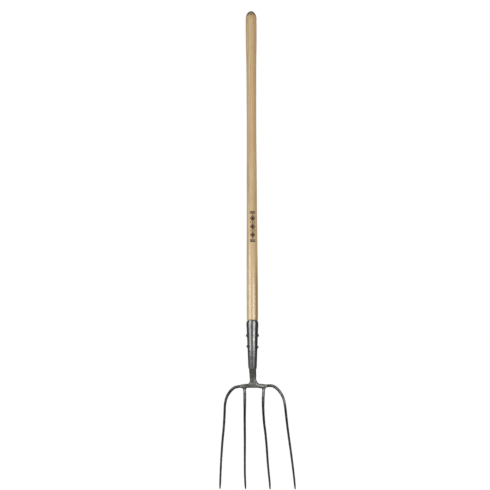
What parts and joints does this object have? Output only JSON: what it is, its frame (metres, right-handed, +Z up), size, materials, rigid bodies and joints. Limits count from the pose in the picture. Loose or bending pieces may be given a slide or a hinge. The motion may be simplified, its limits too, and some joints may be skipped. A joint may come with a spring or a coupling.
{
  "type": "long-handled manure fork",
  "caption": "Long-handled pronged fork: ash shaft riveted into a rolled steel socket, welded by a short neck to a crossbar and curved round tines.",
  "frame": {"origin": "middle of the flat seat under the crossbar, on the handle's axis", "axes": "+Z up along the handle towards its domed top; -Y is the front, the hollow side that the tines curve towards; +X is to the right seen from the front"},
  "size_m": [0.2639, 0.0919, 1.6522],
  "materials": {
    "ash": "turned ash under a thin clear varnish, grain along the length",
    "steel": "forged steel under a dark semi-gloss lacquer",
    "rivet": "peened steel under the same dark lacquer",
    "weld": "rippled weld metal, slightly lighter than the steel round it"
  },
  "bodies": {
    "root": {"ash_handle": "ash", "socket": "steel", "neck": "steel", "crossbar": "steel", "tine_outer_left": "steel", "tine_inner_left": "steel", "tine_inner_right": "steel", "tine_outer_right": "steel", "rivet_upper": "rivet", "rivet_lower": "rivet", "weld_socket": "weld", "weld_neck_left": "weld", "weld_neck_right": "weld", "weld_neck_front": "weld", "weld_neck_back": "weld", "weld_outer_left": "weld", "weld_inner_left": "weld", "weld_inner_right": "weld", "weld_outer_right": "weld"}
  },
  "joints": []
}
